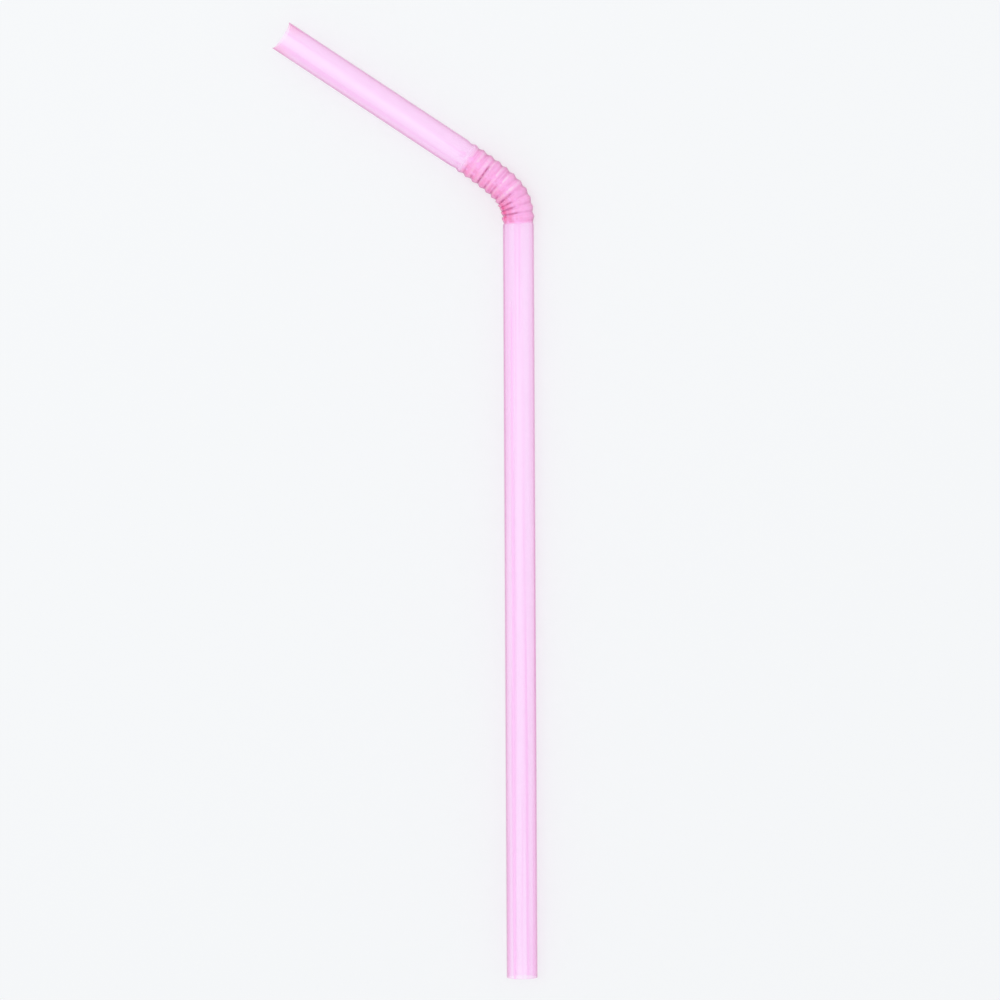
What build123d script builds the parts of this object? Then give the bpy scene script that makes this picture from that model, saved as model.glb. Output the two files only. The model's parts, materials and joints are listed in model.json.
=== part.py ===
from build123d import *
import math
import os

# A flexible drinking straw: one thin tube with a bellows pressed into it, bent at the bellows and lying flat.
# The bend is in the XY plane and Z is up. The long arm runs along -Y, and the short arm, which is drunk from,
# leads up to the left. The origin is under the middle of the straw's bounding box.

# Tube, in millimetres
tube_diameter = 6.0
wall = 0.15
long_arm_length = 146.5
short_arm_length = 41.5

# Bellows, before it is bent: a crest stands proud of the plain tube by crest_rise, and by up to crest_swell more
# where its groove closes
groove_count = 12
groove_pitch = 1.84
long_wall_run = 1.0
groove_depth = 0.35
crest_rise = 0.15
crest_swell = 0.1
cuff_length = 0.6

# Bend between the two arms, in degrees, and the groove that closes the most, counted from the long arm
bend_angle = 56.4
tightest_groove = 3.9
grooves_in_bend = 2.1

tube_radius = tube_diameter / 2
bore_radius = tube_radius - wall
half_wall = wall / 2
short_wall_run = groove_pitch - long_wall_run
plain_radius = tube_radius - half_wall


def groove_bends():
    """Degrees that each groove bends by: most in the tightest one, easing off towards both arms."""
    shares = []
    for groove in range(1, groove_count + 1):
        distance = (groove - tightest_groove) / grooves_in_bend
        shares.append(1 / (1 + distance**2))
    return [bend_angle * share / sum(shares) for share in shares]


def cross_short_wall(place, bend):
    """The place across a short wall, which turns about the outer side of the tube: that side stays pulled open."""
    open_side = place * Location((tube_radius, short_wall_run, 0))
    return open_side * Rotation(0, 0, bend) * Location((-tube_radius, 0, 0))


def middle_rings():
    """The rings along the middle of the wall, from one cuff of the bellows to the other, each a place and a radius.

    In a place, Y runs along the tube and X points to the outer side of the bend. A long wall keeps the shape of
    a cone, so all the bend is in the short walls, and on the inner side they tuck in under the long ones. The more
    a groove closes, the more it pushes its crest out.
    """
    bends = groove_bends()
    place = Location((0, 0, 0))
    rings = [(place, plain_radius)]
    place = place * Location((0, cuff_length, 0))
    rings.append((place, plain_radius))
    for bend in bends:
        crest_radius = plain_radius + crest_rise + crest_swell * bend / max(bends)
        place = cross_short_wall(place, bend)
        rings.append((place, crest_radius - groove_depth))
        place = place * Location((0, long_wall_run, 0))
        rings.append((place, crest_radius))
    rings[-1] = (place, plain_radius)
    place = place * Location((0, cuff_length, 0))
    rings.append((place, plain_radius))
    return rings


def side_line(rings, side):
    """The middle of the wall where the plane of the bend cuts it: side is 1 for the outer side, -1 for the inner."""
    return [(place * Location((side * radius, 0, 0))).position for place, radius in rings]


def skin_line(line, turn):
    """A line half a wall to one side of the middle line: turn is 1 for its right, -1 for its left.

    It is rounded about each corner that it passes on the outside, and mitred at each that it passes on the inside.
    """
    ways = [end - start for start, end in zip(line, line[1:])]
    normals = [Vector(way.Y, -way.X, 0).normalized() * turn for way in ways]
    points = [line[0] + normals[0] * half_wall]
    for corner, before, after in zip(line[1:], normals, normals[1:]):
        middle = before + after
        if before.cross(after).Z * turn > 0:
            points += [corner + way.normalized() * half_wall for way in (before, middle, after)]
        else:
            points.append(corner + middle * half_wall / (1 + before.dot(after)))
    points.append(line[-1] + normals[-1] * half_wall)
    return points


def skin(rings, face):
    """The solid within one skin of the bellows: face is 1 for the outer skin, -1 for the bore.

    Each section is the circle that spans the skin's two lines, one on each side of the bend.
    """
    outer_line = skin_line(side_line(rings, 1), face)
    inner_line = skin_line(side_line(rings, -1), -face)
    sections = []
    for outer, inner in zip(outer_line, inner_line):
        across = outer - inner
        along = Vector(-across.Y, across.X, 0)
        section = Plane(origin=(outer + inner) / 2, x_dir=(0, 0, -1), z_dir=along)
        sections.append(section * Circle(across.length / 2))
    return loft(sections, ruled=True)


def arm(cuff, way, length):
    """A plain round tube on from a cuff of the bellows: way is 1 along the cuff's Y and -1 against it."""
    end = Plane(origin=cuff.position, x_dir=(0, 0, -1), z_dir=(cuff * Location((0, way, 0))).position - cuff.position)
    return extrude(end * (Circle(tube_radius) - Circle(bore_radius)), length - cuff_length)


def drinking_straw():
    rings = middle_rings()
    bellows = skin(rings, 1) - skin(rings, -1)
    long_arm = arm(rings[0][0], -1, long_arm_length)
    short_arm = arm(rings[-1][0], 1, short_arm_length)
    straw = long_arm + bellows + short_arm
    box = straw.bounding_box()
    return straw.moved(Location((-box.center().X, -box.center().Y, -box.min.Z)))


os.makedirs("parts", exist_ok=True)
export_step(drinking_straw(), "parts/straw.step")
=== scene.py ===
import json
import math

import bpy
from mathutils import Matrix, Vector


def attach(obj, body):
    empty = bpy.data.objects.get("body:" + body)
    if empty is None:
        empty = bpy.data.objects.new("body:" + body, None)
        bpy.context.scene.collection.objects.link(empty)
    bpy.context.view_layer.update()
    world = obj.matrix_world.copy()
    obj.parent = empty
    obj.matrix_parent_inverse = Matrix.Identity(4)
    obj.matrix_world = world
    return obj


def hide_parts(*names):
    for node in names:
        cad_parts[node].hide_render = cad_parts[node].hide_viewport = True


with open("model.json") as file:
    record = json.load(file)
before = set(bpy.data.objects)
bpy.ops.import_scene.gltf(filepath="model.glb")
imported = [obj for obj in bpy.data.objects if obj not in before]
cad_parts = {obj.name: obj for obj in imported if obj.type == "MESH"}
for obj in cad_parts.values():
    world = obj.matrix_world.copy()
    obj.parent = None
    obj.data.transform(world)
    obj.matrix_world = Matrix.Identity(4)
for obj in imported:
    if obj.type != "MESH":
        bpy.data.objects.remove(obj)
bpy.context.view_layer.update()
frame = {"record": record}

bl_info = {
    "name": "Flexible Drinking Straw",
    "version": (1, 0, 0),
    "blender": (4, 5, 0),
    "location": "3D View > Sidebar > Straw",
    "description": "Models a bent flexible drinking straw and the studio it is seen in",
    "category": "Object",
}

NODE = "straw"
BODY = "root"
MM = 0.001

# The photograph's width, and its scale at the straw
PHOTO_WIDTH_PIXELS = 1000
PIXELS_PER_MM = 5.15

# Rings of the mesh: one close to a corner, on either side, keeps it crisp when the mesh is smoothed
ARM_STEPS = 8
ARM_MARGIN = 1.5 * MM
SHORTEST_ARM = 10 * MM
GROOVE_WALL_SHARES = (0.2, 0.8)

# A vertex this close to the plane of a cut counts as on it
CUT_TOLERANCE = 0.0001 * MM

# The marks that are written on the mesh, which mark_rings explains
MARKS = {"groove": "FLOAT", "side": "FLOAT", "mouth": "FLOAT", "straight": "FLOAT_VECTOR"}

# A crest is half a groove on from a bottom
CREST = 0.5

# The painted shade lines of the folds lie a little closer together than the grooves do
FOLD_SPACING = 1.02

# The faint line on the long arm, in millimetres: how far to the inner side, its half width and its far end
DRAWN_LINE_ASIDE = 1.25
DRAWN_LINE_CORE = 0.06
DRAWN_LINE_WIDTH = 0.24
DRAWN_LINE_END = 134
DRAWN_LINE_FADE = 128

# What a pressed place and the faint line hide, as shares of what a pinch does
PRESSED_HIDES = 0.6
DRAWN_LINE_HIDES = 0.28


def mount(name):
    """One of the straw's interfaces in the frame's record, by its name."""
    for entry in frame["record"]["mounts"]:
        if entry["name"] == name:
            return entry
    raise ValueError(f"The record has no mount named {name}")


def arm_length(name):
    return mount(name)["dims"]["length_mm"] * MM


def open_end(name):
    """The middle of an arm's mouth, in metres."""
    entry = mount(name)
    return Vector(entry["pos_m"]) + Vector(entry["axis"]) * (arm_length(name) / 2)


def mount_radius(name):
    return mount(name)["dims"]["r_mm"] * MM


def wall_thickness():
    return mount_radius("long_arm") - mount_radius("long_arm_bore")


def bend_between_arms():
    """The bend of the straw: the angle between the short arm's direction and the long arm's carried on."""
    return Vector(mount("long_arm")["axis"]).angle(-Vector(mount("short_arm")["axis"]))


def size(name, description, millimetres):
    return bpy.props.FloatProperty(
        name=name, description=description, default=millimetres * MM, unit="LENGTH", precision=5
    )


def turn(name, description, degrees):
    return bpy.props.FloatProperty(
        name=name, description=description, default=math.radians(degrees), unit="ROTATION"
    )


def point(name, description, millimetres):
    return bpy.props.FloatVectorProperty(
        name=name, description=description, default=tuple(value * MM for value in millimetres), subtype="XYZ"
    )


def number(name, description, default):
    return bpy.props.FloatProperty(name=name, description=description, default=default, min=0)


def share(name, description, default):
    return bpy.props.FloatProperty(
        name=name, description=description, default=default, min=0, max=1, subtype="FACTOR"
    )


def colour(name, description, default):
    return bpy.props.FloatVectorProperty(
        name=name, description=description, subtype="COLOR", size=4, default=(*default, 1), min=0, max=1
    )


def groove_places(name, description, default):
    """Places along the bellows, counted in grooves from the long arm."""
    return bpy.props.FloatVectorProperty(
        name=name, description=description, size=len(default), min=0, default=default
    )


class StrawProperties(bpy.types.PropertyGroup):
    groove_count: bpy.props.IntProperty(
        name="Grooves", description="Grooves pressed into the bellows", default=12, min=2
    )
    groove_pitch: size("Groove pitch", "From one groove to the next when pulled open", 1.84)
    long_wall_run: size("Long wall run", "How far a groove's long wall goes along the tube", 1.0)
    groove_depth: size("Groove depth", "From a crest to the bottom of a groove", 0.35)
    crest_rise: size("Crest rise", "How far a crest stands above the plain tube", 0.15)
    crest_swell: size("Crest swell", "How much further the tightest groove pushes its crest out", 0.1)
    tightest_groove: number("Tightest groove", "The groove that closes the most, from the long arm", 3.9)
    grooves_in_bend: number("Grooves in bend", "How many grooves the bend spreads over to either side", 2.1)
    mouth_hollow: size("Mouth hollow", "How far the short arm's rim draws back at its top and bottom", 0.75)
    segments: bpy.props.IntProperty(name="Segments", description="Flats around the tube", default=64, min=16)
    smooth_angle: turn("Smooth angle", "Edges that bend by less than this are shaded smooth", 50)
    arm_colour: colour("Arm colour", "Plastic in the plain arms", (1.0, 0.80, 1.0))
    bellows_colour: colour("Bellows colour", "Plastic in the bellows", (1.0, 0.59, 0.89))
    # Painted shade: the dark colour laid in the folds, wrinkles and pinched lines of the bellows
    fold_shade_colour: colour("Crease colour", "Folds and pinched lines of the bellows", (0.50, 0.11, 0.28))
    streak_colour: colour("Streak colour", "Faint streaks along the tube, from its making", (0.98, 0.54, 0.9))
    mouth_colour: colour("Mouth colour", "The two corners of the short arm's mouth", (1.0, 0.45, 0.68))
    # Painted highlight: the pale colour of bright bands on the lit walls of the folds
    highlight_colour: colour("Thin colour", "Plastic where the bellows is stretched thin", (1.0, 0.92, 1.0))
    mottle_colour: colour("Mottle colour", "Deeper patches in the bellows", (1.0, 0.45, 0.72))
    closed_colour: colour("Closed colour", "Plastic where grooves are pressed shut", (0.92, 0.10, 0.33))
    arm_clear: colour("Arm clear", "Light through an arm's skin, seen straight on", (1.0, 0.96, 1.0))
    arm_slanted: colour("Arm slanted", "Light through an arm's skin, seen at a slant", (1.0, 0.76, 0.9))
    # Partly the deeper tint of a longer path through the plastic, and partly painted shade at the outline
    arm_edge_shaded: colour("Arm edge", "Light through an arm's skin, seen edge on", (0.72, 0.5, 0.6))
    bellows_clear: colour("Bellows clear", "Light through the bellows, seen straight on", (1.0, 0.88, 0.97))
    bellows_slanted: colour("Bellows slanted", "Light through the bellows, at a slant", (0.96, 0.66, 0.76))
    # Partly the deeper tint of a longer path through the plastic, and partly painted shade at the outline
    bellows_edge_shaded: colour("Bellows edge", "Light through the bellows, seen edge on", (0.42, 0.25, 0.27))
    # How far round and how dark the painted crease shade goes in each groove
    crease_shades: bpy.props.FloatVectorProperty(
        name="Pinches", description="How sharply each groove is pinched on the inner side of the bend",
        size=12, min=0, max=1, default=(0, 0.78, 0.62, 0.6, 0.78, 0.25, 0.35, 0.35, 1, 0.2, 0.3, 0),
    )
    # Places of painted shade lines across the bellows, between its folds
    wrinkles: groove_places(
        "Wrinkles", "Where the bellows is wrinkled between its folds",
        (1.38, 7.4, 8.5, 9.68, 9.92, 10.68, 10.95),
    )
    # Places of painted highlight bands on the lit walls of the folds
    highlight_places: groove_places(
        "Stretches", "Where the bellows is stretched thin and pale",
        (5.45, 6.7, 7.75, 8.8, 9.35, 10.27, 11.2),
    )
    arm_density: share("Arm density", "How much one skin of a plain arm hides", 0.22)
    bellows_density: share("Bellows density", "How much one skin of the bellows hides", 0.42)
    marked_density: share("Marked density", "How much one skin hides where it is pinched", 0.9)
    light_stopped: share("Light stopped", "How much light the plastic stops, against what it hides", 0.15)
    roughness: share("Roughness", "How matt the plastic is", 0.35)
    refraction: number("Refraction", "The plastic's index of refraction", 1.49)


class StageProperties(bpy.types.PropertyGroup):
    camera_side: turn("Camera side", "How far the camera swings towards +X from straight above", 4)
    camera_lift: turn("Camera lift", "How far the camera swings towards +Y from straight above", 3.5)
    camera_roll: turn("Camera roll", "Turn of the camera about its line of sight", -0.3)
    camera_distance: size("Camera distance", "From the camera to what it aims at", 1140)
    camera_aim: point("Camera aim", "The place in the middle of the view", (18.4, 0.26, 3.246))
    view_width: size(
        "View width", "What the view takes in from side to side at the straw",
        PHOTO_WIDTH_PIXELS / PIXELS_PER_MM,
    )
    floor_size: size("Floor size", "From one side of the floor to the other", 3000)
    floor_colour: colour("Floor colour", "The plain pale floor", (0.872, 0.883, 0.89))
    floor_glow: share("Floor glow", "How much of the floor's colour is seen without shade", 0.5)
    studio_colour: bpy.props.FloatVectorProperty(
        name="Studio colour", description="Light from all around, a little cool", subtype="COLOR", size=4,
        default=(0.99, 1, 1.02, 1), min=0,
    )
    studio_strength: number("Studio strength", "Strength of the light from all around", 0.83)
    lamp_place: point("Lamp place", "The middle of the soft lamp", (-120, 200, 1020))
    lamp_size: size("Lamp size", "From one side of the soft lamp to the other", 600)
    lamp_power: number("Lamp power", "Light of the soft lamp in watts", 3.6)


def deselect():
    if bpy.context.object and bpy.context.object.mode != "OBJECT":
        bpy.ops.object.mode_set(mode="OBJECT")
    bpy.ops.object.select_all(action="DESELECT")


def groove_bends(props):
    """The angle that each groove bends by: most in the tightest one, easing off towards both arms."""
    parts = []
    for groove in range(1, props.groove_count + 1):
        distance = (groove - props.tightest_groove) / props.grooves_in_bend
        parts.append(1 / (1 + distance**2))
    return [bend_between_arms() * part / sum(parts) for part in parts]


class Ring:
    """A round section of the wall's middle, spanned by its points on the outer and inner side of the bend."""

    def __init__(self, outer, inner, groove):
        self.outer = outer
        self.inner = inner
        self.groove = groove

    @classmethod
    def at(cls, place, radius, groove):
        return cls(place @ Vector((radius, 0, 0)), place @ Vector((-radius, 0, 0)), groove)

    def towards(self, other, part):
        """The ring that lies a part of the way from this one to another."""
        groove = self.groove + (other.groove - self.groove) * part
        return Ring(self.outer.lerp(other.outer, part), self.inner.lerp(other.inner, part), groove)

    @property
    def centre(self):
        return (self.outer + self.inner) / 2

    @property
    def radius(self):
        return (self.outer - self.inner).length / 2

    @property
    def across(self):
        return (self.outer - self.inner).normalized()

    @property
    def angle(self):
        return math.atan2(self.across.y, self.across.x)


def corner_rings(props):
    """The rings where the wall's middle turns, from the long arm's mouth to the short arm's.

    In a place, Y runs along the tube and X points to the outer side of the bend. A groove's short wall takes
    its bend, about the outer side of the tube, and its long wall keeps the shape of a cone.
    """
    tube_radius = mount_radius("long_arm")
    plain = (tube_radius + mount_radius("long_arm_bore")) / 2
    short_wall_run = props.groove_pitch - props.long_wall_run
    bends = groove_bends(props)
    place = Matrix.Translation(open_end("long_arm"))
    rings = [Ring.at(place, plain, groove=CREST)]
    place = place @ Matrix.Translation((0, arm_length("long_arm"), 0))
    rings.append(Ring.at(place, plain, groove=CREST))
    for groove, bend in enumerate(bends, 1):
        closing = bend / max(bends)
        crest = plain + props.crest_rise + props.crest_swell * closing
        open_side = place @ Matrix.Translation((tube_radius, short_wall_run, 0))
        place = open_side @ Matrix.Rotation(bend, 4, "Z") @ Matrix.Translation((-tube_radius, 0, 0))
        rings.append(Ring.at(place, crest - props.groove_depth, groove=groove))
        place = place @ Matrix.Translation((0, props.long_wall_run, 0))
        rings.append(Ring.at(place, crest, groove=groove + CREST))
    end = props.groove_count + CREST
    rings[-1] = Ring.at(place, plain, groove=end)
    place = place @ Matrix.Translation((0, arm_length("short_arm"), 0))
    rings.append(Ring.at(place, plain, groove=end))
    return rings


def wall_rings(props):
    """All rings that the tube is extruded through: the corners, and those between one corner and the next."""
    corners = corner_rings(props)
    rings = [corners[0]]
    for start, end in zip(corners, corners[1:]):
        length = (end.centre - start.centre).length
        if length > SHORTEST_ARM:
            near = ARM_MARGIN / length
            parts = [near, *(step / ARM_STEPS for step in range(1, ARM_STEPS)), 1 - near]
        else:
            parts = GROOVE_WALL_SHARES
        rings += [start.towards(end, part) for part in parts]
        rings.append(end)
    return rings


def model_tube(props):
    """The middle of the wall: a circle extruded, turned and resized ring by ring, and cut at its mouth."""
    rings = wall_rings(props)
    deselect()
    bpy.ops.mesh.primitive_circle_add(
        vertices=props.segments, radius=rings[0].radius, fill_type="NOTHING",
        location=rings[0].centre, rotation=(math.pi / 2, 0, 0),
    )
    piece = bpy.context.object
    piece.name = "drinking_straw"
    piece.data.name = "drinking_straw"
    bpy.ops.object.transform_apply(location=True, rotation=True, scale=True)
    bpy.ops.object.mode_set(mode="EDIT")
    bpy.ops.mesh.select_mode(type="EDGE")
    bpy.ops.mesh.select_all(action="SELECT")
    for before, ring in zip(rings, rings[1:]):
        bpy.ops.mesh.extrude_edges_move(TRANSFORM_OT_translate={"value": ring.centre - before.centre})
        bpy.ops.transform.rotate(
            value=before.angle - ring.angle, orient_axis="Z", orient_type="GLOBAL",
            center_override=ring.centre,
        )
        growth = ring.radius / before.radius
        bpy.ops.transform.resize(value=(growth, growth, growth), center_override=ring.centre)
    bpy.ops.mesh.select_all(action="SELECT")
    bpy.ops.mesh.normals_make_consistent(inside=False)
    bpy.ops.object.mode_set(mode="OBJECT")
    mark_rings(piece, rings, props)
    for way in (1, -1):
        cut_mouth(piece, rings[-1], rings[-2], way, props.mouth_hollow)
    return piece


def mark_rings(piece, rings, props):
    """Writes marks on the mesh for the plastic to read, ring by ring, in the order in which it was extruded.

    groove counts the grooves along the tube: a whole number is the bottom of a groove, and a half its crest.
    side goes from 0 on the outer side of the bend to 1 on the inner side. mouth is how far away the short
    arm's mouth is. straight is where a place would be if the tube were straight: X to the outer side, Y up
    and Z along it from the long arm's mouth. mouth and straight are in millimetres.
    """
    for name, kind in MARKS.items():
        piece.data.attributes.new(name, kind, "POINT")
    marks = {name: piece.data.attributes[name].data for name in MARKS}
    along = 0
    for index, ring in enumerate(rings):
        if index:
            along += (ring.centre - rings[index - 1].centre).length
        for vertex in range(index * props.segments, (index + 1) * props.segments):
            offset = piece.data.vertices[vertex].co - ring.centre
            outwards = offset.dot(ring.across) / ring.radius
            marks["groove"][vertex].value = ring.groove
            marks["side"][vertex].value = 0.5 - 0.5 * outwards
            marks["mouth"][vertex].value = (ring.centre - rings[-1].centre).length / MM
            marks["straight"][vertex].vector = Vector((outwards * ring.radius, offset.z, along)) / MM


def cut_mouth(piece, rim, behind, way, depth):
    """Cuts half of the short arm's rim back in a slant, as a dull blade leaves it.

    way is 1 for its upper half and -1 for its lower, and behind is the ring next to the rim.
    """
    bpy.ops.object.mode_set(mode="EDIT")
    bpy.ops.mesh.select_mode(type="FACE")
    bpy.ops.mesh.select_all(action="DESELECT")
    bpy.ops.object.mode_set(mode="OBJECT")
    reach = (rim.centre - behind.centre).length
    for face in piece.data.polygons:
        place = face.center - rim.centre
        face.select = place.z * way > 0 and place.length < reach + rim.radius
    outwards = (rim.centre - behind.centre).normalized()
    slant = outwards * rim.radius + Vector((0, 0, way * depth))
    bpy.ops.object.mode_set(mode="EDIT")
    bpy.ops.mesh.bisect(plane_co=rim.centre, plane_no=slant, clear_outer=True, threshold=CUT_TOLERANCE)
    bpy.ops.object.mode_set(mode="OBJECT")


def add_modifier(piece, name, kind, **settings):
    modifier = piece.modifiers.new(name, kind)
    for key, value in settings.items():
        setattr(modifier, key, value)
    bpy.context.view_layer.objects.active = piece
    bpy.ops.object.modifier_apply(modifier=modifier.name)


class Nodes:
    """A material's node tree, with short ways to add and join nodes."""

    def __init__(self, material):
        material.use_nodes = True
        self.tree = material.node_tree
        self.tree.nodes.clear()

    def add(self, kind, **settings):
        node = self.tree.nodes.new(kind)
        for key, value in settings.items():
            setattr(node, key, value)
        return node

    def feed(self, socket, value):
        """Links a socket to another node's, or sets it to a plain value."""
        if isinstance(value, bpy.types.NodeSocket):
            self.tree.links.new(value, socket)
        else:
            socket.default_value = value

    def attribute(self, name, output="Fac"):
        return self.add("ShaderNodeAttribute", attribute_name=name).outputs[output]

    def math(self, operation, *values, clamp=False):
        node = self.add("ShaderNodeMath", operation=operation, use_clamp=clamp)
        for socket, value in zip(node.inputs, values):
            self.feed(socket, value)
        return node.outputs[0]

    def chain(self, operation, values):
        """One operation on two values at a time, from the first value on."""
        result, *others = values
        for value in others:
            result = self.math(operation, result, value)
        return result

    def times(self, *values):
        return self.chain("MULTIPLY", values)

    def most(self, *values):
        return self.chain("MAXIMUM", values)

    def apart(self, value, other):
        """How far apart two values are."""
        return self.math("ABSOLUTE", self.math("SUBTRACT", value, other))

    def mix(self, kind, factor, first, second):
        node = self.add("ShaderNodeMix", data_type=kind)
        for name, value in (("Factor", factor), ("A", first), ("B", second)):
            self.feed(node.inputs[name], value)
        return node.outputs["Result"]

    def mix_colour(self, factor, first, second):
        return self.mix("RGBA", factor, first, second)

    def mix_value(self, factor, first, second):
        return self.mix("FLOAT", factor, first, second)

    def ramp(self, value, start, end):
        """0 up to start and 1 from end on, eased in between."""
        node = self.add("ShaderNodeMapRange", interpolation_type="SMOOTHSTEP")
        self.feed(node.inputs["Value"], value)
        node.inputs["From Min"].default_value = start
        node.inputs["From Max"].default_value = end
        return node.outputs["Result"]

    def fade(self, value, start, end, before, after):
        """before up to start and after from end on, eased in between."""
        return self.mix_value(self.ramp(value, start, end), before, after)

    def mix_shader(self, factor, first, second):
        node = self.add("ShaderNodeMixShader")
        for socket, value in zip(node.inputs, (factor, first, second)):
            self.feed(socket, value)
        return node.outputs[0]

    def surface(self, shader):
        output = self.add("ShaderNodeOutputMaterial")
        self.feed(output.inputs["Surface"], shader)


def noise(nodes, straight, stretch, scale, start, end):
    """Uneven patches, stretched by a factor on each axis and eased from 0 at start to 1 at end."""
    place = nodes.add("ShaderNodeMapping")
    nodes.feed(place.inputs["Vector"], straight)
    place.inputs["Scale"].default_value = stretch
    patches = nodes.add("ShaderNodeTexNoise")
    nodes.feed(patches.inputs["Vector"], place.outputs["Vector"])
    patches.inputs["Scale"].default_value = scale
    return nodes.ramp(patches.outputs["Fac"], start, end)


class MeshMarks:
    """What the plastic reads off the mesh: its marks, where the bellows is and where marks are weaker."""

    def __init__(self, nodes, props):
        self.groove = nodes.attribute("groove")
        self.side = nodes.attribute("side")
        self.mouth = nodes.attribute("mouth")
        self.straight = nodes.attribute("straight", "Vector")
        last = props.groove_count
        self.bellows = nodes.times(
            nodes.ramp(self.groove, start=0.8, end=1.0),
            nodes.ramp(self.groove, start=last - 0.4, end=last - 1.0),
        )
        patches = noise(nodes, self.straight, stretch=(0.3, 0.3, 0.6), scale=0.9, start=0.35, end=0.6)
        self.uneven = nodes.mix_value(patches, first=0.5, second=1.0)


def fold_lines(nodes, groove, place, core, width):
    """A line of painted shade around the tube in each groove, at a share of the way from its bottom to the
    next one's.
    """
    counted = nodes.math("MULTIPLY", groove, FOLD_SPACING)
    past = nodes.math("FRACT", nodes.math("ADD", counted, 1.5 - place))
    return nodes.ramp(nodes.apart(past, 0.5), start=width, end=core)


def lines_at(nodes, groove, places, core, width):
    """Lines around the tube at the given places, counted in grooves."""
    return nodes.most(*(nodes.ramp(nodes.apart(groove, place), start=width, end=core) for place in places))


def highlight_bands(nodes, marks, props):
    """Painted highlights in pale bands on the lit walls of the folds, weaker on the outer side of the bend.
    """
    bands = lines_at(nodes, marks.groove, props.highlight_places, core=0.05, width=0.22)
    strength = nodes.fade(marks.side, start=0.3, end=0.0, before=0.85, after=0.4)
    return nodes.times(bands, marks.uneven, strength, marks.bellows)


def folds(nodes, marks, props):
    """Painted shade in lines around the bellows: along a fold in each groove, at the wrinkles between them
    and in faint uneven rings.
    """
    wrinkle_strength = 0.8
    ring_strength = 0.6
    fold = fold_lines(nodes, marks.groove, place=0.18, core=0.03, width=0.2)
    wrinkles = lines_at(nodes, marks.groove, props.wrinkles, core=0.03, width=0.16)
    rings = noise(nodes, marks.straight, stretch=(0.1, 0.1, 1), scale=1.3, start=0.5, end=0.7)
    lines = nodes.most(fold, nodes.times(wrinkles, wrinkle_strength), nodes.times(rings, ring_strength))
    strength = nodes.fade(marks.side, start=0.2, end=0.7, before=0.3, after=0.42)
    return nodes.times(lines, marks.uneven, marks.bellows, strength)


def pressed_shut(nodes, marks):
    """Where grooves are pressed shut: on the inner side of the bend, and most at its tight end."""
    tight = nodes.times(
        nodes.ramp(marks.groove, start=0.9, end=1.6), nodes.ramp(marks.groove, start=5.7, end=3.8)
    )
    shut = nodes.times(
        nodes.ramp(marks.side, start=0.66, end=0.93), nodes.mix_value(tight, first=0.3, second=1.0)
    )
    eased = nodes.times(
        nodes.ramp(marks.side, start=0.3, end=0.98), nodes.mix_value(tight, first=0.4, second=0.72)
    )
    return nodes.times(nodes.most(shut, eased), marks.bellows)


def drawn_line(nodes, straight):
    """One faint line along the upper side of the long arm, left by the die that formed the tube."""
    place = nodes.add("ShaderNodeSeparateXYZ")
    nodes.feed(place.inputs[0], straight)
    aside = nodes.math("ABSOLUTE", nodes.math("ADD", place.outputs["X"], DRAWN_LINE_ASIDE))
    return nodes.times(
        nodes.ramp(aside, start=DRAWN_LINE_WIDTH, end=DRAWN_LINE_CORE),
        nodes.ramp(place.outputs["Y"], start=0.0, end=1.0),
        nodes.ramp(place.outputs["Z"], start=DRAWN_LINE_END, end=DRAWN_LINE_FADE),
    )


def streaks(nodes, marks, drawn):
    """Faint streaks all along the tube, with the drawn line among them."""
    fine = noise(nodes, marks.straight, stretch=(1, 1, 0.012), scale=0.9, start=0.48, end=0.62)
    return nodes.most(fine, drawn)


def mouth_corners(nodes, marks):
    """The two corners that the hollow leaves at the short arm's mouth, one on each side of the bend."""
    strength = 0.55
    corners = nodes.ramp(nodes.apart(marks.side, 0.5), start=0.15, end=0.42)
    return nodes.times(corners, nodes.ramp(marks.mouth, start=5.0, end=0.5), strength)


def groove_crease_shade(nodes, groove, props):
    """How strong a groove's painted crease shade is, from a little before its bottom to a little before the
    next one's.
    """
    before_bottom = 0.4
    span = props.groove_count + 1
    steps = nodes.add("ShaderNodeValToRGB")
    steps.color_ramp.interpolation = "CONSTANT"
    stops = steps.color_ramp.elements
    stops[1].color = stops[0].color
    for bottom, pinch in enumerate(props.crease_shades, 1):
        stops.new((bottom - before_bottom) / span).color = (pinch, pinch, pinch, 1)
    nodes.feed(steps.inputs["Fac"], nodes.math("DIVIDE", groove, span))
    return steps.outputs["Color"]


def pinch_shade_lines(nodes, marks, props):
    """Sharp lines of painted shade on the inner side of the bend, which go farther around in a groove with
    stronger crease shade.
    """
    weakest_start = 0.9
    strongest_spread = 0.7
    soft_end = 0.15
    darkening = 0.6
    pinch = groove_crease_shade(nodes, marks.groove, props)
    line = fold_lines(nodes, marks.groove, place=0.2, core=0.03, width=0.15)
    start = nodes.math("SUBTRACT", weakest_start, nodes.times(pinch, strongest_spread))
    around = nodes.math("DIVIDE", nodes.math("SUBTRACT", marks.side, start), soft_end, clamp=True)
    return nodes.times(line, around, nodes.math("POWER", pinch, darkening))


def mottle(nodes, marks):
    """Deeper patches in the bellows."""
    strength = 0.45
    patches = noise(nodes, marks.straight, stretch=(1, 1, 1), scale=1.3, start=0.45, end=0.75)
    return nodes.times(patches, nodes.times(marks.bellows, strength))


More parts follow.
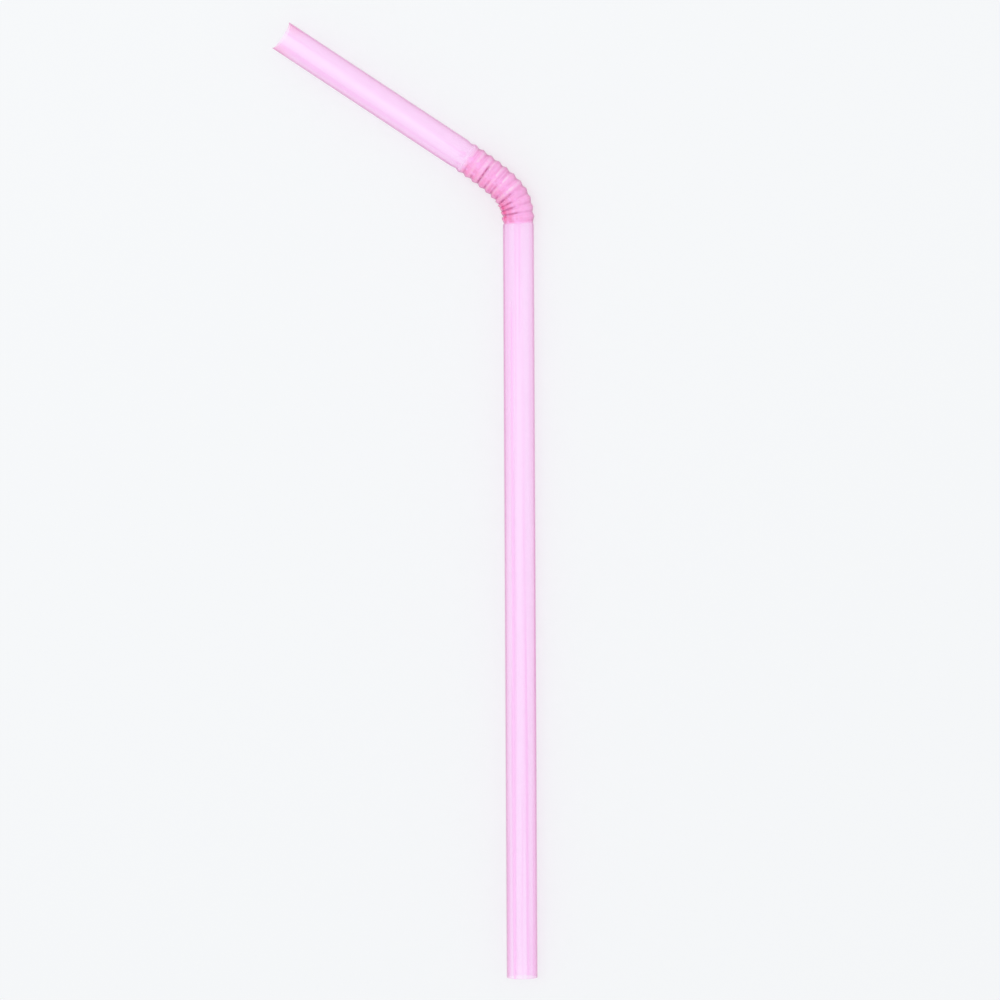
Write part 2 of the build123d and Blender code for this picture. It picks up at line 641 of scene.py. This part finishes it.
def clear_colour(nodes, marks, props):
    """The colour that light takes on through a skin: deeper in the bellows, and darker the more edge on,
    partly from the longer path through the plastic and partly as painted shade at the outline.
    """
    edge = nodes.add("ShaderNodeLayerWeight")
    seen = nodes.mix_colour(marks.bellows, props.arm_clear, props.bellows_clear)
    for sharpness, arm, bellows in (
        (2.0, props.arm_slanted, props.bellows_slanted),
        (4.5, props.arm_edge_shaded, props.bellows_edge_shaded),
    ):
        amount = nodes.math("POWER", edge.outputs["Facing"], sharpness)
        seen = nodes.mix_colour(amount, seen, nodes.mix_colour(marks.bellows, arm, bellows))
    return seen


def skin_density(nodes, marks, props, marked):
    """How much one skin hides: more in the bellows and in marks. It stops less light than it hides."""
    density = nodes.mix_value(marks.bellows, props.arm_density, props.bellows_density)
    density = nodes.mix_value(marked, density, props.marked_density)
    path = nodes.add("ShaderNodeLightPath")
    light = nodes.most(path.outputs["Is Shadow Ray"], path.outputs["Is Diffuse Ray"])
    return nodes.times(density, nodes.mix_value(light, 1.0, props.light_stopped))


def plastic_material(props):
    """Thin pink plastic: each skin is partly seen through, and each mark, painted highlights and painted
    shade among them, is laid over the one before.
    """
    material = bpy.data.materials.new("pink_plastic")
    nodes = Nodes(material)
    marks = MeshMarks(nodes, props)
    pressed = pressed_shut(nodes, marks)
    drawn = drawn_line(nodes, marks.straight)
    # The lines of painted shade where folds are pinched; they also make the skin hide more
    pinched = pinch_shade_lines(nodes, marks, props)
    body = nodes.mix_colour(marks.bellows, props.arm_colour, props.bellows_colour)
    for amount, paint in (
        # Painted highlight bands
        (highlight_bands(nodes, marks, props), props.highlight_colour),
        # Painted shade in the folds and wrinkles
        (folds(nodes, marks, props), props.fold_shade_colour),
        (pressed, props.closed_colour),
        (streaks(nodes, marks, drawn), props.streak_colour),
        (mouth_corners(nodes, marks), props.mouth_colour),
        # Painted shade in the pinched lines, in the same colour as the folds
        (pinched, props.fold_shade_colour),
        (mottle(nodes, marks), props.mottle_colour),
    ):
        body = nodes.mix_colour(amount, body, paint)
    shader = nodes.add("ShaderNodeBsdfPrincipled")
    shader.inputs["Roughness"].default_value = props.roughness
    shader.inputs["IOR"].default_value = props.refraction
    nodes.feed(shader.inputs["Base Color"], body)
    clear = nodes.add("ShaderNodeBsdfTransparent")
    nodes.feed(clear.inputs["Color"], clear_colour(nodes, marks, props))
    marked = nodes.most(pinched, nodes.times(pressed, PRESSED_HIDES), nodes.times(drawn, DRAWN_LINE_HIDES))
    density = skin_density(nodes, marks, props, marked)
    nodes.surface(nodes.mix_shader(density, clear.outputs[0], shader.outputs[0]))
    return material


class STRAW_OT_straw(bpy.types.Operator):
    """Model the straw's wall and give it its plastic"""

    bl_idname = "straw.straw"
    bl_label = "Straw"

    def execute(self, context):
        props = context.scene.straw
        piece = model_tube(props)
        add_modifier(piece, "smooth", "SUBSURF", levels=1, render_levels=1)
        add_modifier(piece, "wall", "SOLIDIFY", thickness=wall_thickness(), offset=0, use_even_offset=True)
        deselect()
        piece.select_set(True)
        context.view_layer.objects.active = piece
        bpy.ops.object.shade_smooth_by_angle(angle=props.smooth_angle)
        piece.data.materials.append(plastic_material(props))
        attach(piece, BODY)
        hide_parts(NODE)
        return {"FINISHED"}


def floor_material(stage):
    """A pale matt floor. Part of its colour is seen without shade, so the straw's shadow stays faint."""
    material = bpy.data.materials.new("pale_floor")
    nodes = Nodes(material)
    matt = nodes.add("ShaderNodeBsdfDiffuse")
    plain = nodes.add("ShaderNodeEmission")
    for shader in (matt, plain):
        shader.inputs["Color"].default_value = stage.floor_colour
    path = nodes.add("ShaderNodeLightPath")
    seen = nodes.times(path.outputs["Is Camera Ray"], stage.floor_glow)
    nodes.surface(nodes.mix_shader(seen, matt.outputs[0], plain.outputs[0]))
    return material


def add_floor(stage):
    bpy.ops.mesh.primitive_plane_add(size=stage.floor_size)
    floor = bpy.context.object
    floor.name = "floor"
    floor.data.materials.append(floor_material(stage))


def add_studio(context, stage):
    """Even light from all around."""
    world = bpy.data.worlds.new("studio")
    context.scene.world = world
    world.use_nodes = True
    around = world.node_tree.nodes["Background"]
    around.inputs["Color"].default_value = stage.studio_colour
    around.inputs["Strength"].default_value = stage.studio_strength


def add_lamp(stage):
    """One large soft lamp, almost straight above."""
    place = Vector(stage.lamp_place)
    bpy.ops.object.light_add(type="AREA", location=place)
    lamp = bpy.context.object
    lamp.name = "soft_lamp"
    lamp.rotation_euler = place.to_track_quat("Z", "Y").to_euler()
    lamp.data.shape = "SQUARE"
    lamp.data.size = stage.lamp_size
    lamp.data.energy = stage.lamp_power


def add_camera(context, stage):
    """A camera that looks down on the straw from far off, along the photograph's line of sight."""
    aside = math.sin(stage.camera_side) * math.cos(stage.camera_lift)
    back = Vector((aside, math.sin(stage.camera_lift), 0))
    back.z = math.sqrt(1 - back.length_squared)
    camera = bpy.data.cameras.new("camera")
    camera.lens = camera.sensor_width * stage.camera_distance / stage.view_width
    eye = bpy.data.objects.new("camera", camera)
    context.scene.collection.objects.link(eye)
    up = (Vector((0, 1, 0)) - back * back.y).normalized()
    rolled = Matrix.Rotation(stage.camera_roll, 3, back)
    pose = Matrix((rolled @ up.cross(back), rolled @ up, back)).transposed().to_4x4()
    pose.translation = Vector(stage.camera_aim) + back * stage.camera_distance
    eye.matrix_world = pose
    context.scene.camera = eye


class STRAW_OT_stage(bpy.types.Operator):
    """Set the floor, the studio light and the camera"""

    bl_idname = "straw.stage"
    bl_label = "Stage"

    def execute(self, context):
        stage = context.scene.straw_stage
        deselect()
        add_floor(stage)
        add_studio(context, stage)
        add_lamp(stage)
        add_camera(context, stage)
        context.scene.view_settings.view_transform = "Standard"
        return {"FINISHED"}


class STRAW_PT_panel(bpy.types.Panel):
    bl_idname = "STRAW_PT_panel"
    bl_label = "Straw"
    bl_space_type = "VIEW_3D"
    bl_region_type = "UI"
    bl_category = "Straw"

    def draw(self, context):
        column = self.layout.column()
        for operator in OPERATORS:
            column.operator(operator.bl_idname)


OPERATORS = (STRAW_OT_straw, STRAW_OT_stage)
CLASSES = (StrawProperties, StageProperties) + OPERATORS + (STRAW_PT_panel,)


def register():
    for cls in CLASSES:
        bpy.utils.register_class(cls)
    bpy.types.Scene.straw = bpy.props.PointerProperty(type=StrawProperties)
    bpy.types.Scene.straw_stage = bpy.props.PointerProperty(type=StageProperties)


def unregister():
    del bpy.types.Scene.straw_stage
    del bpy.types.Scene.straw
    for cls in reversed(CLASSES):
        bpy.utils.unregister_class(cls)


def main():
    register()
    bpy.ops.straw.straw()
    bpy.ops.straw.stage()


if __name__ == "__main__":
    main()
